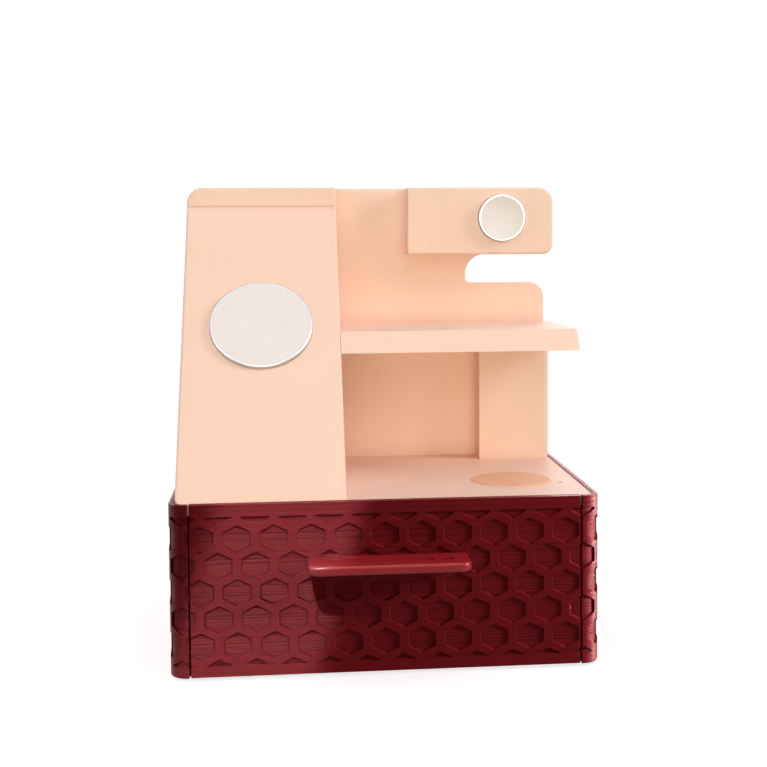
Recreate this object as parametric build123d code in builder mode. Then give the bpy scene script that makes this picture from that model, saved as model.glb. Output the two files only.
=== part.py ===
from build123d import *
from math import atan2, cos, degrees, radians, sin, sqrt
import os

# Charging station organizer: a case with one drawer, and a stand that drops into the case's rim.
# Millimetres, +Z up, the front faces -Y. The origin is the bottom centre of the whole object.

# Base case
base_width = 220.0
base_depth = 165.0
base_height = 88.0
corner_radius = 9.5
case_wall = 3.0
case_floor = 3.0
bottom_round = 1.2
rim_round = 0.5
pillar_depth = 12.0
ledge_width = 8.5
rear_ledge_width = 7.0
ledge_thickness = 4.0
rail_height = 32.0
rail_thickness = 6.0
rail_start = 36.0
rail_rear_gap = 16.0
runner_start = 14.0
runner_inset = 27.5
runner_width = 4.0
runner_height = 1.0
stop_runner_gap = 15.0
stop_thickness = 3.0
stop_setback = 16.0
overrun = 5.0

# Rubber feet
foot_stand = 1.2
foot_radius = 6.0
foot_socket = 1.5
foot_chamfer = 0.4
foot_inset_x = 18.0
foot_inset_y = 16.0

# Cable port in the case's back
grommet_neck_radius = 9.2
grommet_bore_radius = 6.0
grommet_flange = 1.5
grommet_lip = 2.3
grommet_chamfer = 0.5
port_height = 30.0
fit_clearance = 0.1

# Honeycomb relief: pointed cells in staggered rows, cut off by a plain band below and above
cell_width = 14.3
cell_height = 14.2
cell_side = 6.9
cell_pitch = 18.58
row_pitch = 13.57
cell_start = -94.4
first_row_drop = 4.0
relief_depth = 1.2
wall_inset = 0.6
plain_band_bottom = 6.1
plain_band_top = 6.3

# Drawer
drawer_gap = 0.3
front_side_gap = 0.8
front_bevel = 0.5
opening_margin = 0.4
opening_bevel = 0.3
front_thickness = 4.4
front_bottom_gap = 0.6
box_side_gap = 1.0
box_wall = 2.0
box_floor = 2.0
rear_space = 34.0
box_corner = 4.0
slide_gap = 0.3
lug_drop = 0.9
lug_side_gap = 5.0
lug_thickness = 3.0
lug_setback = 3.0

# Drawer handle
handle_width = 81.0
handle_reach = 22.0
handle_thickness = 5.0
handle_drop = 27.7
handle_corner = 6.0
handle_round = 1.6
groove_depth = 2.0
groove_width = 6.5
groove_setback = 7.5
groove_end = 8.8
groove_web = 3.8
groove_corner = 1.0
short_groove = 5.6
handle_screw_spacing = 71.0

# Screws
handle_screw_radius = 1.25
handle_screw_length = 14.0
handle_head_radius = 2.3
stand_screw_radius = 1.5
stand_screw_length = 8.0
stand_head_radius = 2.75
screw_head_height = 2.0
screw_socket_radius = 1.2
screw_socket_depth = 1.1
screw_clearance = 0.05
screw_side_inset = 4.0
screw_front_setback = 24.0
screw_rear_inset = 3.5
screw_rear_side = 22.0

# Upper stand
stand_gap = 0.3
stand_recess = 5.9
floor_drop = 0.4
panel_width = 86.3
panel_setback = 4.7
stand_rise = 162.0
band_height = 12.0
arm_depth = 18.0
plate_thickness = 6.0
side_wall = 4.0
cavity_top_gap = 8.0
hatch_margin = 11.0
hatch_front_gap = 35.3
hatch_rear_gap = 4.0
top_corner = 9.0
crease_round = 2.5
crease_groove_radius = 1.6
crease_groove_depth = 0.8
crease_groove_end = 1.0
panel_round = 1.5
panel_edge_round = 1.0
wall_thickness = 6.0
slot_gap = 10.0
slot_depth = 34.0
slot_floor_rise = 28.4
lip_thickness = 3.7
lip_corner = 8.0

# Shelf, and the column under it
bay_height = 70.0
shelf_thickness = 11.4
shelf_overhang = 2.4
shelf_round = 1.5
column_width = 42.2
column_round = 3.0

# Watch arm, and the strap notch in the wall under it
arm_length = 86.8
arm_overhang = 2.5
arm_height = 39.6
arm_top_corner = 8.5
arm_bottom_corner = 6.0
arm_round = 1.5
notch_length = 48.2
notch_height = 17.4
notch_corner = 12.0
notch_low_corner = 3.0
wall_end_corner = 9.0

# Parts that the three chargers share
puck_wall = 1.2
puck_edge = 0.6
inlet_radius = 1.8
inlet_way_radius = 3.5

# Phone charger
phone_puck_radius = 28.0
phone_puck_thickness = 5.5
phone_pocket_depth = 3.0
phone_puck_from_crease = 84.0
phone_face_thickness = 1.4
phone_inlet_offset = 23.6
shield_thickness = 0.8
shield_radius = 21.0
phone_coil_radius = 20.0
phone_coil_bore = 8.0
phone_coil_height = 1.5
magnet_ring_radius = 26.2
magnet_ring_bore = 22.6
magnet_height = 2.4
magnet_spacing = 1.4
magnet_key_width = 10.0
magnet_count = 16

# Watch charger
watch_puck_radius = 14.0
watch_puck_thickness = 8.0
watch_pocket_depth = 4.0
watch_puck_inset = 31.2
watch_puck_drop = 18.0
watch_dish_radius = 45.0
watch_face_thickness = 3.4
watch_magnet_radius = 4.0
watch_magnet_height = 2.0
watch_coil_radius = 11.0
watch_coil_bore = 6.0
watch_coil_height = 2.0

# Earbuds charger
pad_radius = 22.0
pad_thickness = 4.5
pad_pocket_depth = 4.0
pad_inset = 34.7
pad_setback = 52.0
pad_face_thickness = 1.2
pad_coil_radius = 17.0
pad_coil_bore = 7.0
pad_coil_height = 1.4

# Cable ways in the stand
cable_groove_width = 5.0
cable_groove_depth = 3.0
cable_groove_inset = 8.5
cable_drop_radius = 3.5
cable_drop_gap = 2.5
floor_hole_inset = 9.7
floor_hole_setback = 41.0
floor_hole_radius = 1.6

# Places that follow from the sizes
x_mid = -shelf_overhang / 2
y_front = (handle_reach - base_depth - grommet_flange) / 2
base_middle = base_depth / 2
half_width = base_width / 2
inner_half = half_width - case_wall
inner_back = base_depth - case_wall
corner_start = half_width - corner_radius
opening_half = corner_start - opening_margin
opening_depth = front_thickness + drawer_gap
stand_half = inner_half - stand_gap
stand_back = inner_back - stand_gap
stand_bottom = base_height - stand_recess
stand_floor_top = base_height - floor_drop
stand_height = base_height + stand_rise
ledge_inner = inner_half - ledge_width
ledge_bottom = stand_bottom - ledge_thickness
relief_top = base_height - plain_band_top
first_row_height = base_height - first_row_drop
row_count = int(base_height / row_pitch) + 1
screw_rear_offset = inner_half - screw_rear_side

runner_top = case_floor + runner_height
box_half = ledge_inner - box_side_gap
box_bottom = runner_top + slide_gap
box_height = ledge_bottom - slide_gap - box_bottom
box_length = inner_back - rear_space
rail_end = box_length - rail_rear_gap
runner_offset = box_half - runner_inset
stop_width = 2 * (runner_offset - stop_runner_gap)
lug_width = stop_width - 2 * lug_side_gap
handle_top = base_height - handle_drop
handle_middle = handle_top - handle_thickness / 2

slot_back = stand_back - lip_thickness
wall_back = slot_back - slot_gap
wall_setback = wall_back - wall_thickness
crease_setback = wall_setback - arm_depth
crease_height = stand_height - band_height
hatch_start = panel_setback + hatch_front_gap
hatch_end = wall_setback - hatch_rear_gap
slot_floor_height = stand_floor_top + slot_floor_rise
lip_height = slot_floor_height + slot_depth
panel_start = -stand_half
panel_end = panel_start + panel_width
column_start = stand_half - column_width
shelf_end = half_width + shelf_overhang
shelf_bottom = stand_floor_top + bay_height
shelf_top = shelf_bottom + shelf_thickness
arm_end = stand_half + arm_overhang
arm_start = arm_end - arm_length
arm_bottom = stand_height - arm_height
notch_left = stand_half - notch_length
notch_bottom = arm_bottom - notch_height

watch_puck_offset = arm_end - watch_puck_inset
watch_puck_height = stand_height - watch_puck_drop
pad_offset = stand_half - pad_inset
floor_hole_offset = stand_half - floor_hole_inset
cable_groove_offset = notch_left - cable_groove_inset
cable_drop_setback = wall_back + cable_drop_gap


def across(offset):
    """X of a point that lies this far right of the case's middle."""
    return x_mid + offset


def behind(distance):
    """Y of a point that lies this far behind the case's front face."""
    return y_front + distance


def above(height):
    """Z of a point that lies this far above the case's underside."""
    return foot_stand + height


def level(height):
    """Horizontal plane at this height."""
    return Plane.XY.offset(above(height))


def upright(distance):
    """Plane that faces the front, this far behind the case's front face."""
    return Plane.XZ.offset(-behind(distance))


def side_on(offset):
    """Plane that faces right, this far right of the case's middle."""
    return Plane.YZ.offset(across(offset))


def profile(*places):
    """Outline of a side-on sketch, from distances behind the front face and heights."""
    return [(behind(distance), above(height)) for distance, height in places]


# The inclined front of the stand, from its floor up to the crease
slope = Vector(0, crease_setback - panel_setback, crease_height - stand_floor_top).normalized()
slope_out = Vector(0, -slope.Z, slope.Y)
plate_run = plate_thickness / slope.Z
crease_out = (slope_out - Vector(0, 1, 0)).normalized()


def slope_setback(height):
    """Distance of the inclined front behind the case's front face at this height."""
    return panel_setback + (height - stand_floor_top) * slope.Y / slope.Z


crease_point = Vector(across((panel_start + panel_end) / 2), behind(crease_setback), above(crease_height))
panel_middle = crease_point - slope * phone_puck_from_crease
panel_plane = Plane(origin=panel_middle, x_dir=(1, 0, 0), z_dir=slope_out)
phone_plane = panel_plane.offset(-phone_pocket_depth)
watch_point = (across(watch_puck_offset), behind(crease_setback), above(watch_puck_height))
arm_plane = Plane(origin=watch_point, x_dir=(1, 0, 0), z_dir=(0, -1, 0))
watch_plane = arm_plane.offset(-watch_pocket_depth)
pad_point = (across(pad_offset), behind(pad_setback), above(stand_floor_top))
bay_plane = Plane(origin=pad_point, x_dir=(1, 0, 0), z_dir=(0, 0, 1))
pad_plane = bay_plane.offset(-pad_pocket_depth)

# Honeycomb relief, laid out on the case's outline as if the front and the sides were unrolled
quarter_arc = radians(90) * corner_radius
side_start = corner_start + quarter_arc
last_run = side_start + base_depth - 2 * corner_radius - cell_width / 2
wall_slant = degrees(atan2(wall_inset, relief_depth))
cell_points = [
    (0, cell_height / 2),
    (-cell_width / 2, cell_side / 2),
    (-cell_width / 2, -cell_side / 2),
    (0, -cell_height / 2),
    (cell_width / 2, -cell_side / 2),
    (cell_width / 2, cell_side / 2),
]


def cells(reach):
    """Sideways place and height of each cell within this reach of the case's middle."""
    steps = int(reach / cell_pitch) + 2
    for row in range(row_count):
        height = first_row_height - row * row_pitch
        stagger = 0 if row % 2 else cell_pitch / 2
        for step in range(-steps, 2 * steps):
            run = cell_start + stagger + step * cell_pitch
            if abs(run) < reach:
                yield run, height


def wrapped(run):
    """Place on the rounded outline, and the angle outwards, at this run from the front's middle."""
    side = 1 if run > 0 else -1
    past_corner = abs(run) - corner_start
    if past_corner <= 0:
        return Vector(across(run), behind(0)), -90.0
    if past_corner < quarter_arc:
        turn = past_corner / corner_radius
        x = across(side * (corner_start + corner_radius * sin(turn)))
        y = behind(corner_radius - corner_radius * cos(turn))
        return Vector(x, y), -90.0 + side * degrees(turn)
    y = behind(corner_radius + past_corner - quarter_arc)
    return Vector(across(side * half_width), y), -90.0 + side * 90.0


def wrapped_cell(run, height):
    """Plane and outline of one cell, with its points on the rounded outline."""
    place, angle = wrapped(run)
    outward = Vector(cos(radians(angle)), sin(radians(angle)))
    tangent = Vector(-outward.Y, outward.X)
    origin = Vector(place.X, place.Y, above(height))
    outline = [((wrapped(run + step)[0] - place).dot(tangent), rise) for step, rise in cell_points]
    return Plane(origin=origin, x_dir=tangent, z_dir=outward), outline


with BuildPart() as relief_skin:
    with BuildSketch(level(plain_band_bottom)):
        with Locations((x_mid, behind(base_middle))):
            RectangleRounded(base_width + 2 * overrun, base_depth + 2 * overrun, corner_radius + overrun)
            RectangleRounded(
                base_width - 2 * relief_depth,
                base_depth - 2 * relief_depth,
                corner_radius - relief_depth,
                mode=Mode.SUBTRACT,
            )
    extrude(amount=relief_top - plain_band_bottom)

with BuildPart() as corner_relief:
    for cell_run, cell_level in cells(side_start + cell_width / 2):
        if abs(cell_run) + cell_width / 2 > opening_half:
            cell_plane, cell_outline = wrapped_cell(cell_run, cell_level)
            with BuildSketch(cell_plane):
                Polygon(*cell_outline, align=None)
    extrude(amount=overrun, both=True)
    add(relief_skin.part, mode=Mode.INTERSECT)


# Base case: a rounded shell, open at the top and the front, with pillars at its front corners
with BuildPart() as base_case:
    with BuildSketch(level(0)):
        with Locations((x_mid, behind(base_middle))):
            RectangleRounded(base_width, base_depth, corner_radius)
    extrude(amount=base_height)
    fillet(base_case.faces().sort_by(Axis.Z)[0].edges(), bottom_round)
    fillet(base_case.faces().sort_by(Axis.Z)[-1].edges(), rim_round)
    with BuildSketch(level(case_floor)):
        with Locations((x_mid, behind(base_middle))):
            RectangleRounded(2 * inner_half, base_depth - 2 * case_wall, corner_radius - case_wall)
    extrude(amount=base_height, mode=Mode.SUBTRACT)

    # Ledge that carries the stand, along both sides and the back
    with BuildSketch(level(ledge_bottom)):
        with Locations((x_mid, behind(base_middle))):
            RectangleRounded(2 * inner_half, base_depth - 2 * case_wall, corner_radius - case_wall)
        with Locations((x_mid, behind(0))):
            Rectangle(
                2 * ledge_inner,
                inner_back - rear_ledge_width,
                align=(Align.CENTER, Align.MIN),
                mode=Mode.SUBTRACT,
            )
    extrude(amount=ledge_thickness)

    # Pillars, and the rails that guide the drawer's sides
    with BuildSketch(level(case_floor)):
        for side in (-1, 1):
            with Locations((across(side * (opening_half + inner_half) / 2), behind(case_wall))):
                Rectangle(inner_half - opening_half, pillar_depth - case_wall, align=(Align.CENTER, Align.MIN))
    extrude(amount=stand_bottom - case_floor)
    with BuildSketch(level(rail_height)):
        rail_inner = box_half + drawer_gap
        for side in (-1, 1):
            with Locations((across(side * (rail_inner + inner_half) / 2), behind(rail_start))):
                Rectangle(inner_half - rail_inner, rail_end - rail_start, align=(Align.CENTER, Align.MIN))
    extrude(amount=rail_thickness)

    # Runners under the drawer, and the rib that stops its lug
    with BuildSketch(level(case_floor)):
        with Locations(
            (across(-runner_offset), behind(runner_start)),
            (across(runner_offset), behind(runner_start)),
        ):
            Rectangle(runner_width, box_length - runner_start, align=(Align.CENTER, Align.MIN))
        with Locations((x_mid, behind(stop_setback))):
            Rectangle(stop_width, stop_thickness, align=(Align.CENTER, Align.MIN))
    extrude(amount=runner_height)

    # Front opening for the drawer's front, from the underside up to the rim
    with BuildSketch(level(0)):
        with Locations((x_mid, behind(opening_depth))):
            Rectangle(2 * opening_half, opening_depth + overrun, align=(Align.CENTER, Align.MAX))
    extrude(amount=base_height, both=True, mode=Mode.SUBTRACT)
    opening_edges = base_case.edges().filter_by(Axis.Z).filter_by_position(
        Axis.Y, behind(0) - drawer_gap, behind(0) + drawer_gap
    )
    opening_edges = opening_edges.filter_by_position(
        Axis.X, across(-opening_half) - drawer_gap, across(opening_half) + drawer_gap
    )
    chamfer(opening_edges, opening_bevel)

    # Sockets for the feet, the cable port and the holes for the stand's screws
    with BuildSketch(level(0)):
        with Locations((x_mid, behind(base_middle))):
            with GridLocations(base_width - 2 * foot_inset_x, base_depth - 2 * foot_inset_y, 2, 2):
                Circle(foot_radius + fit_clearance)
    extrude(amount=foot_socket, mode=Mode.SUBTRACT)
    with BuildSketch(upright(base_depth)):
        with Locations((x_mid, above(port_height))):
            Circle(grommet_neck_radius + fit_clearance)
    extrude(amount=case_wall, mode=Mode.SUBTRACT)
    screw_places = [
        (across(screw_side_inset - inner_half), behind(screw_front_setback)),
        (across(inner_half - screw_side_inset), behind(screw_front_setback)),
        (across(-screw_rear_offset), behind(inner_back - screw_rear_inset)),
        (across(screw_rear_offset), behind(inner_back - screw_rear_inset)),
    ]
    with BuildSketch(level(stand_bottom)):
        with Locations(*screw_places):
            Circle(stand_screw_radius + screw_clearance)
    extrude(amount=-ledge_thickness, mode=Mode.SUBTRACT)

    # Honeycomb round the corners, and the slanted cells of the two flat sides
    add(corner_relief.part, mode=Mode.SUBTRACT)
    for side in (-1, 1):
        side_place = (across(side * half_width), behind(corner_radius), above(0))
        with BuildSketch(Plane(origin=side_place, x_dir=(0, side, 0), z_dir=(side, 0, 0))):
            for cell_run, cell_level in cells(last_run):
                if side * cell_run >= side_start + cell_width / 2:
                    with Locations((cell_run - side * side_start, cell_level)):
                        Polygon(*cell_points, align=None)
            with Locations((0, plain_band_bottom)):
                Rectangle(
                    2 * base_depth,
                    relief_top - plain_band_bottom,
                    align=(Align.CENTER, Align.MIN),
                    mode=Mode.INTERSECT,
                )
        extrude(amount=-relief_depth, taper=wall_slant, mode=Mode.SUBTRACT)

with BuildPart() as rubber_feet:
    with BuildSketch(Plane.XY):
        with Locations((x_mid, behind(base_middle))):
            with GridLocations(base_width - 2 * foot_inset_x, base_depth - 2 * foot_inset_y, 2, 2):
                Circle(foot_radius)
    extrude(amount=foot_stand + foot_socket)
    chamfer(rubber_feet.faces().group_by(Axis.Z)[0].edges(), foot_chamfer)

# Grommet: a neck through the back wall, between an outer flange and an inner lip
with BuildPart() as cable_grommet:
    with BuildSketch(upright(base_depth + grommet_flange)):
        with Locations((x_mid, above(port_height))):
            Circle(grommet_neck_radius + grommet_lip)
    extrude(amount=grommet_flange)
    chamfer(cable_grommet.faces().sort_by(Axis.Y)[-1].edges(), grommet_chamfer)
    with BuildSketch(upright(base_depth)):
        with Locations((x_mid, above(port_height))):
            Circle(grommet_neck_radius)
    extrude(amount=case_wall)
    with BuildSketch(upright(inner_back)):
        with Locations((x_mid, above(port_height))):
            Circle(grommet_neck_radius + grommet_lip)
    extrude(amount=grommet_flange)
    with BuildSketch(upright(base_depth + grommet_flange)):
        with Locations((x_mid, above(port_height))):
            Circle(grommet_bore_radius)
    extrude(amount=case_wall + 2 * grommet_flange, mode=Mode.SUBTRACT)


# Drawer: the honeycomb front and the box behind it are one piece
with BuildPart() as drawer:
    with BuildSketch(upright(0)):
        with Locations((x_mid, above(front_bottom_gap))):
            Rectangle(
                2 * (opening_half - front_side_gap),
                base_height - front_bottom_gap,
                align=(Align.CENTER, Align.MIN),
            )
    extrude(amount=-front_thickness)
    chamfer(drawer.edges().filter_by(Axis.Z).group_by(Axis.Y)[0], front_bevel)
    with BuildSketch(upright(0)):
        for cell_run, cell_level in cells(opening_half + cell_width / 2):
            with Locations((across(cell_run), above(cell_level))):
                Polygon(*cell_points, align=None)
        with Locations((x_mid, above(plain_band_bottom))):
            Rectangle(
                2 * half_width,
                relief_top - plain_band_bottom,
                align=(Align.CENTER, Align.MIN),
                mode=Mode.INTERSECT,
            )
        with Locations((x_mid, above(handle_middle))):
            Rectangle(handle_width, handle_thickness, mode=Mode.SUBTRACT)
    extrude(amount=-relief_depth, taper=wall_slant, mode=Mode.SUBTRACT)

    with BuildSketch(level(box_bottom)) as box_outside:
        with Locations((x_mid, behind(front_thickness))):
            Rectangle(2 * box_half, box_length - front_thickness, align=(Align.CENTER, Align.MIN))
        fillet(box_outside.vertices().group_by(Axis.Y)[-1], box_corner)
    extrude(amount=box_height)
    with BuildSketch(level(box_bottom + box_floor)) as box_inside:
        with Locations((x_mid, behind(front_thickness))):
            Rectangle(
                2 * (box_half - box_wall),
                box_length - front_thickness - box_wall,
                align=(Align.CENTER, Align.MIN),
            )
        fillet(box_inside.vertices().group_by(Axis.Y)[-1], box_corner - box_wall)
    extrude(amount=box_height, mode=Mode.SUBTRACT)
    with BuildSketch(level(box_bottom)):
        with Locations((x_mid, behind(box_length - lug_setback))):
            Rectangle(lug_width, lug_thickness, align=(Align.CENTER, Align.MAX))
    extrude(amount=-lug_drop)
    with BuildSketch(upright(front_thickness)):
        with Locations((x_mid, above(handle_middle))):
            with GridLocations(handle_screw_spacing, handle_thickness, 2, 1):
                Circle(handle_screw_radius + screw_clearance)
    extrude(amount=front_thickness, mode=Mode.SUBTRACT)

# Handle: a flat bar with two shallow grooves along its top
groove_reach = handle_width / 2 - groove_end
long_groove = 2 * groove_reach - short_groove - groove_web
with BuildPart() as drawer_handle:
    with BuildSketch(level(handle_top - handle_thickness)) as handle_outline:
        with Locations((x_mid, behind(0))):
            Rectangle(handle_width, handle_reach, align=(Align.CENTER, Align.MAX))
        fillet(handle_outline.vertices().group_by(Axis.Y)[0], handle_corner)
    extrude(amount=handle_thickness)
    handle_edges = drawer_handle.faces().filter_by(Axis.Z).edges().group_by(Axis.Y)[:-1]
    fillet([edge for group in handle_edges for edge in group], handle_round)
    with BuildSketch(level(handle_top)):
        with Locations((across(-groove_reach), behind(-groove_setback))):
            RectangleRounded(long_groove, groove_width, groove_corner, align=(Align.MIN, Align.MAX))
        with Locations((across(groove_reach), behind(-groove_setback))):
            RectangleRounded(short_groove, groove_width, groove_corner, align=(Align.MAX, Align.MAX))
    extrude(amount=-groove_depth, mode=Mode.SUBTRACT)
    with BuildSketch(upright(0)):
        with Locations((x_mid, above(handle_middle))):
            with GridLocations(handle_screw_spacing, handle_thickness, 2, 1):
                Circle(handle_screw_radius + screw_clearance)
    extrude(amount=handle_screw_length - front_thickness + slide_gap, mode=Mode.SUBTRACT)

with BuildPart() as handle_screws:
    with BuildSketch(upright(front_thickness + screw_head_height)):
        with Locations((x_mid, above(handle_middle))):
            with GridLocations(handle_screw_spacing, handle_thickness, 2, 1):
                Circle(handle_head_radius)
    extrude(amount=screw_head_height)
    with BuildSketch(upright(front_thickness)):
        with Locations((x_mid, above(handle_middle))):
            with GridLocations(handle_screw_spacing, handle_thickness, 2, 1):
                Circle(handle_screw_radius)
    extrude(amount=handle_screw_length)
    with BuildSketch(upright(front_thickness + screw_head_height)):
        with Locations((x_mid, above(handle_middle))):
            with GridLocations(handle_screw_spacing, handle_thickness, 2, 1):
                RegularPolygon(screw_socket_radius, 6)
    extrude(amount=screw_socket_depth, mode=Mode.SUBTRACT)


# Upper stand: floor, inclined phone panel, back wall, tablet slot, column, shelf and watch arm
with BuildPart() as upper_stand:
    with BuildSketch(side_on(panel_start)):
        Polygon(
            *profile(
                (case_wall, stand_bottom),
                (stand_back, stand_bottom),
                (stand_back, lip_height),
                (slot_back, lip_height),
                (slot_back, slot_floor_height),
                (wall_back, slot_floor_height),
                (wall_back, stand_height),
                (wall_setback, stand_height),
                (wall_setback, stand_floor_top),
                (case_wall, stand_floor_top),
            ),
            align=None,
        )
    extrude(amount=2 * stand_half)
    with BuildSketch(side_on(panel_start)):
        Polygon(
            *profile(
                (panel_setback, stand_floor_top),
                (wall_setback, stand_floor_top),
                (wall_setback, stand_height),
                (crease_setback, stand_height),
                (crease_setback, crease_height),
            ),
            align=None,
        )
    extrude(amount=panel_width)
    with BuildSketch(side_on(column_start)):
        Polygon(
            *profile(
                (crease_setback, stand_floor_top),
                (wall_setback, stand_floor_top),
                (wall_setback, shelf_bottom),
                (crease_setback, shelf_bottom),
            ),
            align=None,
        )
    extrude(amount=column_width)

    # Rounded corners of the tablet slot's lip and of the panel's top
    lip_edges = upper_stand.edges().filter_by(Axis.Y).filter_by_position(
        Axis.Z, above(lip_height) - stand_gap, above(lip_height) + stand_gap
    )
    fillet(lip_edges, lip_corner)
    top_edges = upper_stand.edges().filter_by(Axis.Y).filter_by_position(
        Axis.Z, above(stand_height) - stand_gap, above(stand_height) + stand_gap
    )
    fillet(top_edges.group_by(Axis.X)[0], top_corner)
    crease = upper_stand.edges().filter_by(Axis.X).filter_by_position(
        Axis.Z, above(crease_height) - stand_gap, above(crease_height) + stand_gap
    )
    fillet(crease, crease_round)
    front_edges = upper_stand.edges().filter_by(Axis.X).filter_by_position(
        Axis.Z, above(stand_height) - stand_gap, above(stand_height) + stand_gap
    )
    fillet(front_edges.filter_by_position(Axis.Y, behind(0), behind(wall_setback) + stand_gap), panel_round)
    fillet(upper_stand.edges().filter_by(Axis(crease_point, slope)), panel_edge_round)

    # Shallow groove along the crease
    groove_middle = crease_point + crease_out * (crease_groove_radius - crease_groove_depth)
    with BuildSketch(side_on(panel_start)):
        with Locations((groove_middle.Y, groove_middle.Z)):
            Circle(crease_groove_radius)
    extrude(amount=panel_width - crease_groove_end, mode=Mode.SUBTRACT)

    # The outline that fits inside the case's rim, behind the drawer's front
    with BuildSketch(level(stand_bottom)):
        with Locations((x_mid, behind(base_middle))):
            RectangleRounded(
                2 * stand_half,
                base_depth - 2 * (case_wall + stand_gap),
                corner_radius - case_wall - stand_gap,
            )
        with Locations((x_mid, behind(panel_setback))):
            Rectangle(
                2 * half_width,
                base_depth,
                align=(Align.CENTER, Align.MIN),
                mode=Mode.INTERSECT,
            )
    extrude(amount=stand_height, mode=Mode.INTERSECT)
    column_edge = upper_stand.edges().filter_by(Axis.Z).filter_by_position(
        Axis.Y, behind(crease_setback) - stand_gap, behind(crease_setback) + stand_gap
    )
    fillet(column_edge.sort_by(Axis.X)[-1], column_round)

    # Shelf, with its front in line with the inclined panel
    with BuildSketch(side_on(panel_end)):
        Polygon(
            *profile(
                (slope_setback(shelf_bottom), shelf_bottom),
                (wall_setback, shelf_bottom),
                (wall_setback, shelf_top),
                (slope_setback(shelf_top), shelf_top),
            ),
            align=None,
        )
    extrude(amount=shelf_end - panel_end)
    fillet(upper_stand.faces().sort_by(Axis.X)[-1].edges(), shelf_round)

    # Strap notch in the wall, open at the right, and the watch arm over it
    with BuildSketch(upright(wall_back)) as notch:
        with Locations((across(notch_left), above(notch_bottom))):
            Rectangle(
                stand_half - notch_left,
                arm_bottom - notch_bottom,
                align=(Align.MIN, Align.MIN),
            )
        notch_points = notch.vertices().group_by(Axis.X)[0].sort_by(Axis.Y)
        fillet(notch_points[-1], notch_corner)
        fillet(notch.vertices().group_by(Axis.X)[0].sort_by(Axis.Y)[0], notch_low_corner)
    extrude(amount=wall_thickness, mode=Mode.SUBTRACT)
    wall_end = upper_stand.edges().filter_by(Axis.Y).filter_by_position(
        Axis.Z, above(notch_bottom) - stand_gap, above(notch_bottom) + stand_gap
    )
    fillet(wall_end.sort_by(Axis.X)[-1], wall_end_corner)
    with BuildSketch(upright(crease_setback)) as arm_outline:
        with Locations((across(arm_start), above(arm_bottom))):
            Rectangle(arm_end - arm_start, stand_height - arm_bottom, align=(Align.MIN, Align.MIN))
        arm_points = arm_outline.vertices().group_by(Axis.X)[-1].sort_by(Axis.Y)
        fillet(arm_points[-1], arm_top_corner)
        fillet(arm_outline.vertices().group_by(Axis.X)[-1].sort_by(Axis.Y)[0], arm_bottom_corner)
    extrude(amount=crease_setback - wall_back)
    arm_edges = upper_stand.edges().filter_by_position(
        Axis.Y, behind(crease_setback) - stand_gap, behind(crease_setback) + stand_gap
    )
    arm_edges = arm_edges.filter_by_position(Axis.X, across(arm_start) + stand_gap, across(arm_end) + stand_gap)
    fillet(arm_edges.filter_by_position(Axis.Z, above(notch_bottom), above(stand_height) + stand_gap), arm_round)

    # Hollow behind the inclined panel, and the hatch under it
    with BuildSketch(side_on(panel_start + side_wall)):
        cavity_top = stand_height - cavity_top_gap
        Polygon(
            *profile(
                (panel_setback + plate_run, stand_floor_top),
                (wall_setback, stand_floor_top),
                (wall_setback, cavity_top),
                (slope_setback(cavity_top) + plate_run, cavity_top),
            ),
            align=None,
        )
    extrude(amount=panel_width - 2 * side_wall, mode=Mode.SUBTRACT)
    with BuildSketch(level(stand_bottom)):
        with Locations((across(panel_start + hatch_margin), behind(hatch_start))):
            Rectangle(
                panel_width - 2 * hatch_margin,
                hatch_end - hatch_start,
                align=(Align.MIN, Align.MIN),
            )
    extrude(amount=stand_floor_top - stand_bottom, mode=Mode.SUBTRACT)

    # Pockets for the three chargers, each with a way for its cord
    with BuildSketch(panel_plane):
        Circle(phone_puck_radius + fit_clearance)
    extrude(amount=-phone_pocket_depth, mode=Mode.SUBTRACT)
    with BuildSketch(phone_plane):
        with Locations((0, -phone_inlet_offset)):
            Circle(inlet_way_radius)
    extrude(amount=-plate_thickness, mode=Mode.SUBTRACT)
    with BuildSketch(arm_plane):
        Circle(watch_puck_radius + fit_clearance)
    extrude(amount=-watch_pocket_depth, mode=Mode.SUBTRACT)
    with BuildSketch(arm_plane):
        Circle(inlet_way_radius)
    extrude(amount=crease_setback - wall_back, mode=Mode.SUBTRACT)
    with BuildSketch(bay_plane):
        Circle(pad_radius + fit_clearance)
    extrude(amount=-pad_pocket_depth, mode=Mode.SUBTRACT)
    with BuildSketch(level(stand_bottom)):
        with Locations((across(pad_offset), behind(pad_setback))):
            Circle(inlet_way_radius)
        with Locations((across(floor_hole_offset), behind(floor_hole_setback))):
            Circle(floor_hole_radius)
    extrude(amount=stand_floor_top - stand_bottom, mode=Mode.SUBTRACT)

    # Groove down the wall's back for the watch charger's cord, and the hole it drops through
    with BuildSketch(upright(wall_back)):
        with Locations((across(cable_groove_offset), above(watch_puck_height))):
            Rectangle(
                cable_groove_width,
                watch_puck_height - slot_floor_height,
                align=(Align.CENTER, Align.MAX),
            )
        with Locations((across(cable_groove_offset) - cable_groove_width / 2, above(watch_puck_height))):
            Rectangle(
                watch_puck_offset - cable_groove_offset + cable_groove_width / 2,
                cable_groove_width,
                align=(Align.MIN, Align.CENTER),
            )
    extrude(amount=cable_groove_depth, mode=Mode.SUBTRACT)
    with BuildSketch(level(stand_bottom)):
        with Locations((across(cable_groove_offset), behind(cable_drop_setback))):
            Circle(cable_drop_radius)
    extrude(amount=slot_floor_height - stand_bottom, mode=Mode.SUBTRACT)
    with BuildSketch(level(stand_bottom)):
        with Locations(*screw_places):
            Circle(stand_screw_radius + screw_clearance)
    extrude(amount=stand_screw_length - ledge_thickness + slide_gap, mode=Mode.SUBTRACT)

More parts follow.
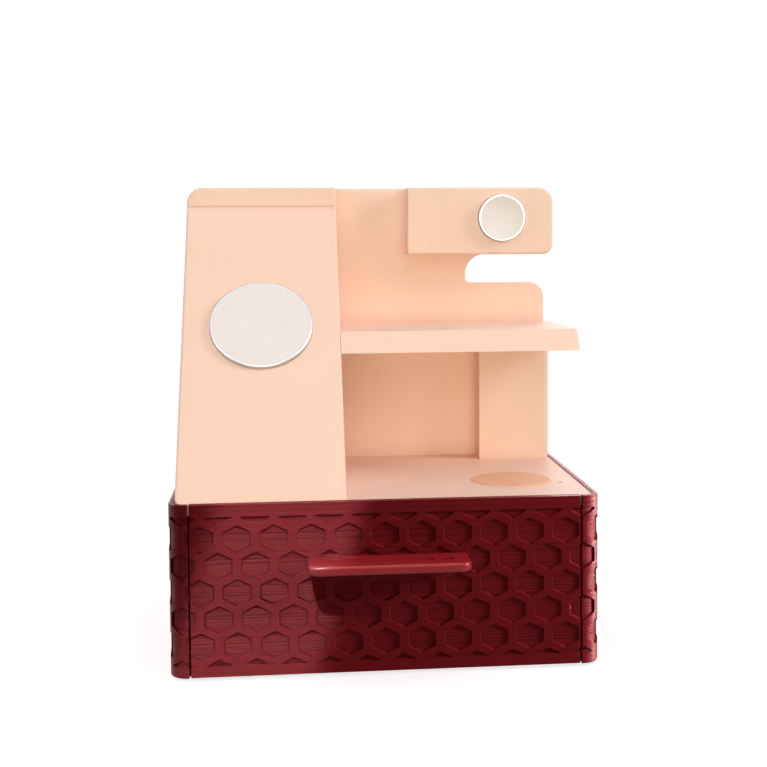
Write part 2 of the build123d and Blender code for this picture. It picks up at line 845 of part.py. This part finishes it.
with BuildPart() as stand_screws:
    with BuildSketch(level(ledge_bottom)):
        with Locations(*screw_places):
            Circle(stand_head_radius)
    extrude(amount=-screw_head_height)
    with BuildSketch(level(ledge_bottom)):
        with Locations(*screw_places):
            Circle(stand_screw_radius)
    extrude(amount=stand_screw_length)
    with BuildSketch(level(ledge_bottom - screw_head_height)):
        with Locations(*screw_places):
            RegularPolygon(screw_socket_radius, 6)
    extrude(amount=screw_socket_depth, mode=Mode.SUBTRACT)


# Phone charger: shell, face, shield, coil and a ring of magnets with a gap over the inlet
phone_face_level = phone_puck_thickness - phone_face_thickness
with BuildPart() as phone_charger_shell:
    with BuildSketch(phone_plane):
        Circle(phone_puck_radius)
    extrude(amount=phone_puck_thickness)
    outer_face = phone_charger_shell.faces().sort_by(Axis(phone_plane.origin, phone_plane.z_dir))[-1]
    fillet(outer_face.edges(), puck_edge)
    with BuildSketch(phone_plane.offset(puck_wall)):
        Circle(phone_puck_radius - puck_wall)
    extrude(amount=phone_puck_thickness, mode=Mode.SUBTRACT)
    with BuildSketch(phone_plane):
        with Locations((0, -phone_inlet_offset)):
            Circle(inlet_radius)
    extrude(amount=puck_wall, mode=Mode.SUBTRACT)

with BuildPart() as phone_charger_face:
    with BuildSketch(phone_plane.offset(phone_face_level)):
        Circle(phone_puck_radius - puck_wall - fit_clearance)
    extrude(amount=phone_face_thickness)

with BuildPart() as phone_charger_shield:
    with BuildSketch(phone_plane.offset(puck_wall)):
        Circle(shield_radius)
    extrude(amount=shield_thickness)

with BuildPart() as phone_charger_coil:
    with BuildSketch(phone_plane.offset(puck_wall + shield_thickness)):
        Circle(phone_coil_radius)
        Circle(phone_coil_bore, mode=Mode.SUBTRACT)
    extrude(amount=phone_coil_height)

magnet_turn = 180 / magnet_count
magnet_width = magnet_ring_radius - magnet_ring_bore
with BuildPart() as phone_charger_magnets:
    with BuildSketch(phone_plane.offset(puck_wall)):
        Circle(magnet_ring_radius)
        Circle(magnet_ring_bore, mode=Mode.SUBTRACT)
        with PolarLocations(magnet_ring_bore, magnet_count, start_angle=magnet_turn):
            Rectangle(3 * magnet_width, magnet_spacing, mode=Mode.SUBTRACT)
        with Locations((0, -magnet_ring_radius)):
            Rectangle(magnet_key_width, 3 * magnet_width, mode=Mode.SUBTRACT)
    extrude(amount=magnet_height)


# Watch charger: shell, dished face, magnet and coil
watch_face_level = watch_puck_thickness - watch_face_thickness
with BuildPart() as watch_charger_shell:
    with BuildSketch(watch_plane):
        Circle(watch_puck_radius)
    extrude(amount=watch_puck_thickness)
    fillet(watch_charger_shell.faces().sort_by(Axis.Y)[0].edges(), puck_edge)
    with BuildSketch(watch_plane.offset(puck_wall)):
        Circle(watch_puck_radius - puck_wall)
    extrude(amount=watch_puck_thickness, mode=Mode.SUBTRACT)
    with BuildSketch(watch_plane):
        Circle(inlet_radius)
    extrude(amount=puck_wall, mode=Mode.SUBTRACT)

watch_face_radius = watch_puck_radius - puck_wall - fit_clearance
dish_drop = sqrt(watch_dish_radius**2 - watch_face_radius**2)
with BuildPart() as watch_charger_face:
    with BuildSketch(watch_plane.offset(watch_face_level)):
        Circle(watch_face_radius)
    extrude(amount=watch_face_thickness)
    with Locations(watch_plane.offset(watch_puck_thickness + dish_drop)):
        Sphere(watch_dish_radius, mode=Mode.SUBTRACT)

with BuildPart() as watch_charger_magnet:
    with BuildSketch(watch_plane.offset(watch_face_level - watch_magnet_height)):
        Circle(watch_magnet_radius)
    extrude(amount=watch_magnet_height)

with BuildPart() as watch_charger_coil:
    with BuildSketch(watch_plane.offset(watch_face_level - watch_coil_height)):
        Circle(watch_coil_radius)
        Circle(watch_coil_bore, mode=Mode.SUBTRACT)
    extrude(amount=watch_coil_height)


# Earbuds charger: shell, face and coil, set into the floor of the lower bay
pad_face_level = pad_thickness - pad_face_thickness
with BuildPart() as earbuds_charger_shell:
    with BuildSketch(pad_plane):
        Circle(pad_radius)
    extrude(amount=pad_thickness)
    with BuildSketch(pad_plane.offset(puck_wall)):
        Circle(pad_radius - puck_wall)
    extrude(amount=pad_thickness, mode=Mode.SUBTRACT)
    with BuildSketch(pad_plane):
        Circle(inlet_radius)
    extrude(amount=puck_wall, mode=Mode.SUBTRACT)

with BuildPart() as earbuds_charger_face:
    with BuildSketch(pad_plane.offset(pad_face_level)):
        Circle(pad_radius - puck_wall - fit_clearance)
    extrude(amount=pad_face_thickness)

with BuildPart() as earbuds_charger_coil:
    with BuildSketch(pad_plane.offset(puck_wall)):
        Circle(pad_coil_radius)
        Circle(pad_coil_bore, mode=Mode.SUBTRACT)
    extrude(amount=pad_coil_height)


os.makedirs("parts", exist_ok=True)

base_case.part.label = "base_case"
export_step(base_case.part, "parts/base_case.step")
rubber_feet.part.label = "rubber_feet"
export_step(rubber_feet.part, "parts/rubber_feet.step")
cable_grommet.part.label = "cable_grommet"
export_step(cable_grommet.part, "parts/cable_grommet.step")
drawer.part.label = "drawer"
export_step(drawer.part, "parts/drawer.step")
drawer_handle.part.label = "drawer_handle"
export_step(drawer_handle.part, "parts/drawer_handle.step")
handle_screws.part.label = "handle_screws"
export_step(handle_screws.part, "parts/handle_screws.step")
upper_stand.part.label = "upper_stand"
export_step(upper_stand.part, "parts/upper_stand.step")
stand_screws.part.label = "stand_screws"
export_step(stand_screws.part, "parts/stand_screws.step")
phone_charger_shell.part.label = "phone_charger_shell"
export_step(phone_charger_shell.part, "parts/phone_charger_shell.step")
phone_charger_face.part.label = "phone_charger_face"
export_step(phone_charger_face.part, "parts/phone_charger_face.step")
phone_charger_shield.part.label = "phone_charger_shield"
export_step(phone_charger_shield.part, "parts/phone_charger_shield.step")
phone_charger_coil.part.label = "phone_charger_coil"
export_step(phone_charger_coil.part, "parts/phone_charger_coil.step")
phone_charger_magnets.part.label = "phone_charger_magnets"
export_step(phone_charger_magnets.part, "parts/phone_charger_magnets.step")
watch_charger_shell.part.label = "watch_charger_shell"
export_step(watch_charger_shell.part, "parts/watch_charger_shell.step")
watch_charger_face.part.label = "watch_charger_face"
export_step(watch_charger_face.part, "parts/watch_charger_face.step")
watch_charger_magnet.part.label = "watch_charger_magnet"
export_step(watch_charger_magnet.part, "parts/watch_charger_magnet.step")
watch_charger_coil.part.label = "watch_charger_coil"
export_step(watch_charger_coil.part, "parts/watch_charger_coil.step")
earbuds_charger_shell.part.label = "earbuds_charger_shell"
export_step(earbuds_charger_shell.part, "parts/earbuds_charger_shell.step")
earbuds_charger_face.part.label = "earbuds_charger_face"
export_step(earbuds_charger_face.part, "parts/earbuds_charger_face.step")
earbuds_charger_coil.part.label = "earbuds_charger_coil"
export_step(earbuds_charger_coil.part, "parts/earbuds_charger_coil.step")
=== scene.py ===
import math

import bpy
from mathutils import Matrix, Vector


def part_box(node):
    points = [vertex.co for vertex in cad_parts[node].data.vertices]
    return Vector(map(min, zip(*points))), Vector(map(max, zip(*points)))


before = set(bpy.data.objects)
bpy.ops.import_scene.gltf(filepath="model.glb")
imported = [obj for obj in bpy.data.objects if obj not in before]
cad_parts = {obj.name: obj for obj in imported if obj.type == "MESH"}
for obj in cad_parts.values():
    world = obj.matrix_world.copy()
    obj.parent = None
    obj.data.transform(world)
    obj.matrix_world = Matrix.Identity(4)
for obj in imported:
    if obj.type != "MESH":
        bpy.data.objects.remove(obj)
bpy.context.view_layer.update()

MM = 0.001


def linear(hex_colour):
    """sRGB hex to the linear colour that a shader takes."""
    value = hex_colour.lstrip("#")
    out = []
    for i in (0, 2, 4):
        c = int(value[i : i + 2], 16) / 255
        out.append(c / 12.92 if c <= 0.04045 else ((c + 0.055) / 1.055) ** 2.4)
    return (*out, 1.0)


def add(tree, kind, links=None, **settings):
    """Adds a node: settings are its properties, links its inputs, each a value or another node's socket."""
    n = tree.nodes.new(kind)
    for key, value in settings.items():
        setattr(n, key, value)
    for key, value in (links or {}).items():
        if isinstance(value, bpy.types.NodeSocket):
            tree.links.new(value, n.inputs[key])
        else:
            n.inputs[key].default_value = value
    return n


def calculate(tree, operation, *values):
    """One step of arithmetic with numbers."""
    return add(tree, "ShaderNodeMath", dict(enumerate(values)), operation=operation).outputs[0]


def calculate_vector(tree, operation, *values):
    """One step of arithmetic with vectors. A length comes back as a number."""
    n = add(tree, "ShaderNodeVectorMath", dict(enumerate(values)), operation=operation)
    return n.outputs["Value" if operation == "LENGTH" else "Vector"]


def ranged(tree, value, low, high, start=0.0, end=1.0, **settings):
    """A number that is low up to the value's start, high from its end on, and on the way between them."""
    limits = {"Value": value, "From Min": start, "From Max": end, "To Min": low, "To Max": high}
    return add(tree, "ShaderNodeMapRange", limits, **settings).outputs[0]


def mixed(tree, factor, first, second, blend_type="MIX"):
    """Two colours mixed."""
    colours = {0: factor, 6: first, 7: second}
    return add(tree, "ShaderNodeMix", colours, data_type="RGBA", blend_type=blend_type).outputs[2]


def noise(tree, place, feature_mm, detail):
    """Noise with features of about this size."""
    links = {"Vector": place, "Scale": 1 / (feature_mm * MM), "Detail": detail}
    return add(tree, "ShaderNodeTexNoise", links).outputs["Fac"]


def bumped(tree, height, depth, strength, under=None):
    """The direction of a surface with a relief of this depth in metres, laid over another one if given."""
    links = {"Height": height, "Distance": depth, "Strength": strength}
    if under is not None:
        links["Normal"] = under
    return add(tree, "ShaderNodeBump", links).outputs[0]


def surface(name):
    """A new material, its tree and its shader."""
    m = bpy.data.materials.new(name)
    m.use_nodes = True
    tree = m.node_tree
    tree.nodes.clear()
    shader = add(tree, "ShaderNodeBsdfPrincipled")
    add(tree, "ShaderNodeOutputMaterial", {"Surface": shader.outputs["BSDF"]})
    return m, tree, shader


def finish(tree, shader, colour, roughness, normal):
    """Joins a surface's colour, roughness and relief to its shader."""
    tree.links.new(colour, shader.inputs["Base Color"])
    tree.links.new(roughness, shader.inputs["Roughness"])
    tree.links.new(normal, shader.inputs["Normal"])


# The case's outline seen from above, which the honeycomb's cells are cut into
case_low, case_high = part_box("base_case")
case_middle = (case_low + case_high) / 2
case_corner = 9.5 * MM
# The cells are 1.2 mm deep. Between these two depths their skin turns rougher, their layers more uneven,
# and the painted shade and light on their layers stronger and darker on the whole, by these amounts.
cell_skin_starts = 0.85 * MM
cell_skin_full = 1.1 * MM
cell_shading_levels = (0.7, 1.06)
cell_roughness = 0.16
cell_unevenness = 3


def depth_below_outline(tree, place):
    """Depth in metres of a point below the case's rounded outline, seen from above."""
    any_height = 10.0
    reach_x = case_high.x - case_middle.x - case_corner
    reach_y = case_high.y - case_middle.y - case_corner
    centred = calculate_vector(tree, "SUBTRACT", place, (case_middle.x, case_middle.y, 0))
    folded = calculate_vector(tree, "ABSOLUTE", centred)
    past = calculate_vector(tree, "SUBTRACT", folded, (reach_x, reach_y, any_height))
    outside = calculate_vector(tree, "LENGTH", calculate_vector(tree, "MAXIMUM", past, (0, 0, 0)))
    sides = add(tree, "ShaderNodeSeparateXYZ", {0: past})
    nearest = calculate(tree, "MAXIMUM", sides.outputs[0], sides.outputs[1])
    inside = calculate(tree, "MINIMUM", nearest, 0.0)
    return calculate(tree, "SUBTRACT", case_corner, calculate(tree, "ADD", outside, inside))


def printed_pla(
    name,
    colour,
    shade,
    layer_axis,
    layer_mm,
    ridge_mm,
    roughness,
    gloss,
    sheen,
    levels=(0.976, 1.0),
    cells=False,
):
    """Filament laid in layers: fine parallel ridges, each layer a little lighter or darker than the next,
    a slow drift of colour over the print, and a satin skin. Levels are the painted shade on the layer that
    lies furthest back and the painted light on the one that stands out most. The honeycomb's cells keep a
    rougher skin, with stronger painted shade and light on their layers."""
    m, tree, shader = surface(name)
    place = add(tree, "ShaderNodeTexCoord").outputs["Object"]

    # The rounded side of each layer
    lines = add(
        tree,
        "ShaderNodeTexWave",
        {
            "Vector": place,
            "Scale": math.pi / (10 * layer_mm * MM),
            "Distortion": 0.4,
            "Detail": 2.0,
            "Detail Scale": 0.4,
        },
        wave_type="BANDS",
        bands_direction=layer_axis,
        wave_profile="SIN",
    ).outputs["Fac"]
    # Each layer holds a slightly different amount of filament: noise drawn out along the layers
    along = 0.0015
    across = 1 / (1.8 * layer_mm)
    stretch = [along, along, along]
    stretch["XYZ".index(layer_axis)] = across
    squeezed = add(tree, "ShaderNodeMapping", {"Vector": place, "Scale": [s / MM for s in stretch]})
    layer_links = {"Vector": squeezed.outputs[0], "Scale": 1.0, "Detail": 2.0}
    layer_change = add(tree, "ShaderNodeTexNoise", layer_links).outputs["Fac"]
    drift = noise(tree, place, feature_mm=60, detail=2.0)
    grain = noise(tree, place, feature_mm=0.5, detail=2.0)

    tone = ranged(tree, calculate(tree, "ADD", layer_change, drift), 0.0, 1.0, start=0.75, end=1.25)
    plain = mixed(tree, tone, linear(colour), linear(shade))
    # The narrow furrow between two layers takes a little less light
    furrow = ranged(tree, lines, 0.95, 1.0, end=0.3)
    lined = mixed(tree, 1.0, plain, furrow, "MULTIPLY")
    # Uneven layers: painted shade on those that lie a little back, painted light on the rest, more so in
    # the cells
    raised = ranged(tree, layer_change, 0.0, 1.0, start=0.41, end=0.53)
    painted_layer_shading = ranged(tree, raised, *levels)
    skin = ranged(tree, layer_change, roughness - 0.04, roughness + 0.05, start=0.3, end=0.7)
    step = ridge_mm * MM
    if cells:
        depth = depth_below_outline(tree, place)
        deep = ranged(tree, depth, 0.0, 1.0, start=cell_skin_starts, end=cell_skin_full)
        # Painted shade and light on the cells' layers, darker on the whole than on the ribs
        painted_cell_shading = ranged(tree, raised, *cell_shading_levels)
        painted_layer_shading = add(tree, "ShaderNodeMix", {0: deep, 2: painted_layer_shading, 3: painted_cell_shading}).outputs[0]
        skin = calculate(tree, "ADD", skin, calculate(tree, "MULTIPLY", deep, cell_roughness))
        step = ranged(tree, deep, ridge_mm * MM, cell_unevenness * ridge_mm * MM)
    toned = mixed(tree, 1.0, lined, painted_layer_shading, "MULTIPLY")

    ridges = bumped(tree, lines, 0.5 * ridge_mm * MM, strength=1.0)
    uneven = bumped(tree, raised, step, strength=1.0, under=ridges)
    pitted = bumped(tree, grain, 0.012 * MM, strength=0.6, under=uneven)
    finish(tree, shader, toned, skin, pitted)
    shader.inputs["IOR"].default_value = 1.46
    shader.inputs["Specular IOR Level"].default_value = gloss
    shader.inputs["Specular Tint"].default_value = linear(sheen)
    return m


# PLA printed upright: horizontal layers, a deep wine red with a satin sheen that takes on the red.
# Real layers are about 0.2 mm; all prints here have them two to four times as high so that they show.
upright_print = dict(
    layer_axis="Z",
    layer_mm=0.7,
    ridge_mm=0.06,
    roughness=0.44,
    gloss=0.3,
    sheen="#ff7870",
    levels=(0.76, 1.05),
    cells=True,
)
case_pla = printed_pla("pla_wine_red_case", "#6a1116", "#610e13", **upright_print)
drawer_pla = printed_pla("pla_wine_red_drawer", "#6a1116", "#610e13", **upright_print)
# The handle has finer layers and a smoother skin; its red is painted slightly brighter than the case's, as
# painted light
handle_pla = printed_pla(
    "pla_wine_red_handle",
    "#7c171d",
    "#721419",
    layer_axis="Z",
    layer_mm=0.4,
    ridge_mm=0.02,
    roughness=0.33,
    gloss=0.6,
    sheen="#ffb0aa",
)
# PLA printed on its side: the layers run up and down the front, a warm peach with a soft sheen
stand_pla = printed_pla(
    "pla_peach_stand",
    "#f6d5c6",
    "#f4d2c2",
    layer_axis="X",
    layer_mm=0.45,
    ridge_mm=0.008,
    roughness=0.5,
    gloss=0.3,
    sheen="#ffffff",
)


def moulded(name, colour, shade, grain_mm, depth_mm, roughness, ior=1.5):
    """Moulded rubber or plastic: one colour with a faint cloud in it and the mould's fine texture."""
    m, tree, shader = surface(name)
    place = add(tree, "ShaderNodeTexCoord").outputs["Object"]
    cloud = noise(tree, place, feature_mm=9, detail=4.0)
    texture = noise(tree, place, feature_mm=grain_mm, detail=3.0)
    tint = mixed(tree, cloud, linear(colour), linear(shade))
    dull = ranged(tree, texture, roughness - 0.08, roughness + 0.08)
    finish(tree, shader, tint, dull, bumped(tree, texture, depth_mm * MM, strength=0.7))
    shader.inputs["IOR"].default_value = ior
    return m


# Black and dark brown thermoplastic rubber, moulded: dull, with a fine grain
foot_rubber = moulded("tpe_black_moulded", "#1b1a1a", "#262424", 0.7, 0.03, 0.75)
grommet_rubber = moulded("tpe_dark_brown_moulded", "#241a1a", "#2e2222", 0.8, 0.03, 0.7)
# White silicone on the faces of the phone's and the watch's chargers: soft, almost no texture
face_silicone = moulded("silicone_white_moulded", "#ece6e6", "#e3dcdc", 0.5, 0.01, 0.42, 1.43)
# Peach ABS shell and soft pad of the charger in the bay's floor
pad_abs = moulded("abs_peach_moulded", "#efbf9f", "#e9b493", 0.6, 0.01, 0.4)
pad_soft = moulded("tpu_peach_moulded", "#ecb999", "#e4ae8c", 0.9, 0.03, 0.62)
# Sintered ferrite: dark grey, fine and dull
ferrite = moulded("ferrite_sintered", "#2b2b2d", "#1f1f21", 0.3, 0.02, 0.6)


def metal(name, colour, shade, centre, axis, line_mm, depth_mm, roughness):
    """Turned or drawn metal: fine rings round an axis, with small changes of roughness."""
    m, tree, shader = surface(name)
    place = add(tree, "ShaderNodeTexCoord").outputs["Object"]
    lean = Vector((0, 0, 1)).rotation_difference(Vector(axis)).inverted().to_euler()
    centred = calculate_vector(tree, "SUBTRACT", place, centre)
    turned = {"Vector": centred, "Rotation": lean}
    upright = add(tree, "ShaderNodeVectorRotate", turned, rotation_type="EULER_XYZ")
    rings = add(
        tree,
        "ShaderNodeTexWave",
        {
            "Vector": upright.outputs[0],
            "Scale": math.pi / (10 * line_mm * MM),
            "Distortion": 0.6,
            "Detail": 2.0,
        },
        wave_type="RINGS",
        rings_direction="Z",
    ).outputs["Fac"]
    patches = noise(tree, place, feature_mm=5, detail=4.0)
    tint = mixed(tree, patches, linear(colour), linear(shade))
    dull = ranged(tree, patches, roughness - 0.06, roughness + 0.08)
    finish(tree, shader, tint, dull, bumped(tree, rings, depth_mm * MM, strength=0.6))
    shader.inputs["Metallic"].default_value = 1.0
    return m


def middle(node):
    """Centre of a CAD node's box."""
    low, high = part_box(node)
    return (low + high) / 2


# Centre and axis of each charger, and an upright axis for the pieces without one of their own
phone_axis = (middle("phone_charger_face"), Vector((0, -0.7835, 0.6214)))
watch_axis = (middle("watch_charger_shell"), (0, -1, 0))
pad_axis = (middle("earbuds_charger_face"), (0, 0, 1))
plain_axis = ((0, 0, 0), (0, 0, 1))

# Anodised aluminium, turned: satin, with fine rings round the puck
anodised = ("#c9cacd", "#bcbdc1")
phone_rim = metal("aluminium_anodised_phone_puck", *anodised, *phone_axis, 0.25, 0.004, 0.3)
watch_rim = metal("aluminium_anodised_watch_puck", *anodised, *watch_axis, 0.25, 0.004, 0.3)
# Zinc-plated steel, turned
screw_zinc = metal("steel_zinc_plated", "#9b9c9f", "#85868a", *plain_axis, 0.35, 0.01, 0.35)
# Nickel-plated magnets
magnet_nickel = metal("magnet_nickel_plated", "#b9b6ad", "#a5a29a", *plain_axis, 0.5, 0.002, 0.25)
# Enamelled copper wire, wound flat: one ring for each turn, 0.9 mm apart
copper = ("#b5653a", "#9c5230")
phone_wire = metal("copper_wire_phone_coil", *copper, *phone_axis, 0.9, 0.3, 0.35)
watch_wire = metal("copper_wire_watch_coil", *copper, *watch_axis, 0.9, 0.3, 0.35)
pad_wire = metal("copper_wire_pad_coil", *copper, *pad_axis, 0.9, 0.3, 0.35)

finishes = {
    "base_case": case_pla,
    "drawer": drawer_pla,
    "drawer_handle": handle_pla,
    "upper_stand": stand_pla,
    "rubber_feet": foot_rubber,
    "cable_grommet": grommet_rubber,
    "handle_screws": screw_zinc,
    "stand_screws": screw_zinc,
    "phone_charger_shell": phone_rim,
    "phone_charger_face": face_silicone,
    "phone_charger_shield": ferrite,
    "phone_charger_coil": phone_wire,
    "phone_charger_magnets": magnet_nickel,
    "watch_charger_shell": watch_rim,
    "watch_charger_face": face_silicone,
    "watch_charger_magnet": magnet_nickel,
    "watch_charger_coil": watch_wire,
    "earbuds_charger_shell": pad_abs,
    "earbuds_charger_face": pad_soft,
    "earbuds_charger_coil": pad_wire,
}
for name, material in finishes.items():
    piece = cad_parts[name]
    piece.data.materials.clear()
    piece.data.materials.append(material)


def seen_directly(tree):
    """1 where a ray comes from the camera, a reflection or glass, else 0."""
    path = add(tree, "ShaderNodeLightPath").outputs
    first = calculate(tree, "MAXIMUM", path["Is Camera Ray"], path["Is Glossy Ray"])
    return calculate(tree, "MAXIMUM", first, path["Is Transmission Ray"])


def shadow_floor(size, glow, fade_starts, fade_ends):
    """Pale, plain floor with the object's shadow on it, lifted by a glow where it is seen directly. Between
    these distances from its middle it fades into the white behind it, so that no horizon shows."""
    bpy.ops.mesh.primitive_plane_add(size=size, location=(0, 0, 0))
    plane = bpy.context.object
    plane.name = "floor"
    paper = bpy.data.materials.new("paper_white_matte")
    paper.use_nodes = True
    tree = paper.node_tree
    tree.nodes.clear()
    matte = add(tree, "ShaderNodeBsdfDiffuse", {"Color": (0.8, 0.79, 0.78, 1.0)})
    level = calculate(tree, "MULTIPLY", seen_directly(tree), glow)
    glowing = add(tree, "ShaderNodeEmission", {"Color": (1, 1, 1, 1), "Strength": level})
    both = add(tree, "ShaderNodeAddShader", {0: matte.outputs[0], 1: glowing.outputs[0]})
    place = add(tree, "ShaderNodeTexCoord").outputs["Object"]
    distance = calculate_vector(tree, "LENGTH", place)
    fading = ranged(tree, distance, 0.0, 1.0, fade_starts, fade_ends, interpolation_type="SMOOTHSTEP")
    open_air = add(tree, "ShaderNodeBsdfTransparent")
    faded = add(tree, "ShaderNodeMixShader", {0: fading, 1: both.outputs[0], 2: open_air.outputs[0]})
    add(tree, "ShaderNodeOutputMaterial", {"Surface": faded.outputs[0]})
    plane.data.materials.append(paper)
    return plane


floor = shadow_floor(size=6.0, glow=0.78, fade_starts=0.22, fade_ends=0.6)

# World: white to the camera and in reflections, a softer fill for everything else
world = bpy.data.worlds.new("studio")
bpy.context.scene.world = world
world.use_nodes = True
sky = world.node_tree
sky.nodes.clear()
fill = add(sky, "ShaderNodeBackground", {"Color": (1.0, 0.97, 0.92, 1), "Strength": 0.25})
white = add(sky, "ShaderNodeBackground", {"Color": (1, 1, 1, 1), "Strength": 1.0})
pick = add(sky, "ShaderNodeMixShader", {0: seen_directly(sky), 1: fill.outputs[0], 2: white.outputs[0]})
add(sky, "ShaderNodeOutputWorld", {"Surface": pick.outputs[0]})


def lamp_group(name, nodes):
    """A collection of the CAD pieces that some lamps light alone."""
    group = bpy.data.collections.new(name)
    for node in nodes:
        group.objects.link(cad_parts[node])
    return group


def softbox(name, pieces, target, direction, distance, size, watts, colour, spread=180.0, roll=0.0):
    """An area light that faces target from this direction and lights these pieces, or everything if None.
    Size is its width and height, spread its beam's width in degrees, roll its turn about the beam."""
    data = bpy.data.lights.new(name, "AREA")
    data.shape = "RECTANGLE"
    data.size, data.size_y = size
    data.energy = watts
    data.color = colour
    data.spread = math.radians(spread)
    lamp = bpy.data.objects.new(name, data)
    bpy.context.scene.collection.objects.link(lamp)
    away = Vector(direction).normalized()
    lamp.location = Vector(target) + away * distance
    facing = away.to_track_quat("Z", "Y").to_matrix()
    lamp.rotation_euler = (facing @ Matrix.Rotation(math.radians(roll), 3, "Z")).to_euler()
    if pieces is not None:
        lamp.light_linking.receiver_collection = pieces


red_names = ("base_case", "drawer", "drawer_handle")
red = lamp_group("red_pieces", red_names)
pale = lamp_group("pale_pieces", [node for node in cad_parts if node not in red_names])
handle = lamp_group("handle_alone", ["drawer_handle"])

# What the lamps point at, and how far off the large ones stand
stand_middle = (0.0, 0.0, 0.16)
case_left = (-0.0625, -0.072, 0.045)
case_right = (0.10, -0.06, 0.045)
handle_middle = (0.0, -0.09, 0.055)
right_corner = (0.108, -0.0697, 0.045)
far = 1.5

# Broad light from above for everything
softbox("top_box", None, stand_middle, (0, -0.3, 1.0), far, (1.2, 1.2), 4.6, (0.98, 0.97, 1.03))
# For the pale pieces alone: light from the front, low into the bay, from both sides and from behind
softbox("front_box", pale, stand_middle, (0.05, -1.0, 0.4), far, (0.5, 0.5), 2.6, (1.0, 0.96, 0.92))
softbox("right_box", pale, stand_middle, (0.85, -0.25, 0.45), far, (0.6, 0.6), 12.0, (1.0, 0.96, 0.94))
softbox("low_box", pale, stand_middle, (0, -1.0, -0.02), far, (1.2, 0.25), 8.0, (1.0, 0.9, 0.56))
softbox("left_box", pale, stand_middle, (-1.0, -0.42, 0.25), far, (0.8, 0.8), 5.0, (1.0, 0.98, 1.0))
softbox("behind_box", pale, stand_middle, (0.2, 1.0, 0.5), far, (1.0, 1.0), 7.0, (1.0, 0.95, 0.9))
# For the red pieces alone: a cool beam on the left third of the case, a narrow beam down its right front
# corner, light that grazes the honeycomb from the right, a strip behind the right corner, one over the
# handle alone, light from the left, and a strip behind the rim
softbox(
    "case_beam",
    red,
    case_left,
    (-0.14, -0.65, 0.74),
    0.8,
    (0.063, 0.2),
    0.215,
    (0.29, 1.0, 0.88),
    spread=1.4,
    roll=-20,
)
softbox("corner_beam", red, right_corner, (1, 0, 0), 0.5, (0.004, 1.2), 0.08, (0.75, 1.0, 1.05), spread=1.2)
softbox("case_graze", red, case_right, (0.85, -0.33, 0.42), 0.6, (0.2, 0.2), 5.0, (1.0, 0.92, 0.92))
softbox("case_strip", red, case_right, (0.85, 0.5, 0.05), 0.5, (0.1, 0.4), 1.2, (1.0, 0.88, 0.86))
softbox("handle_strip", handle, handle_middle, (0, -0.7, 0.7), 0.8, (0.6, 0.06), 5.0, (1.0, 0.95, 0.95))
softbox("case_side", red, stand_middle, (-1.0, 0.45, 0.4), far, (0.8, 0.8), 5.0, (1.0, 0.95, 0.95))
softbox("rim_strip", red, stand_middle, (0.3, 1.0, 0.15), 1.2, (1.2, 0.3), 14.0, (1.0, 0.92, 0.92))

# Camera at the photograph's angle, worked out for a picture 767 pixels wide
picture = 767
focal_px = 1345.1
centre_px = (433.95, 321.56)
camera_place = Vector((-49.8, -743.25, 221.1)) * MM
yaw, pitch, roll = (math.radians(a) for a in (6.17, 3.53, -0.28))
forward = Vector((math.sin(yaw) * math.cos(pitch), math.cos(yaw) * math.cos(pitch), -math.sin(pitch)))
right = Vector((math.cos(yaw), -math.sin(yaw), 0))
up = right.cross(forward)
right, up = right * math.cos(roll) + up * math.sin(roll), up * math.cos(roll) - right * math.sin(roll)
lens = bpy.data.cameras.new("camera")
lens.sensor_width = 36.0
lens.lens = focal_px / picture * lens.sensor_width
lens.shift_x = (picture / 2 - centre_px[0]) / picture
lens.shift_y = (centre_px[1] - picture / 2) / picture
lens.clip_start = 0.01
camera = bpy.data.objects.new("camera", lens)
bpy.context.scene.collection.objects.link(camera)
turn = Matrix((right, up, -forward)).transposed().to_4x4()
camera.matrix_world = Matrix.Translation(camera_place) @ turn
bpy.context.scene.camera = camera
bpy.context.scene.view_settings.view_transform = "Standard"
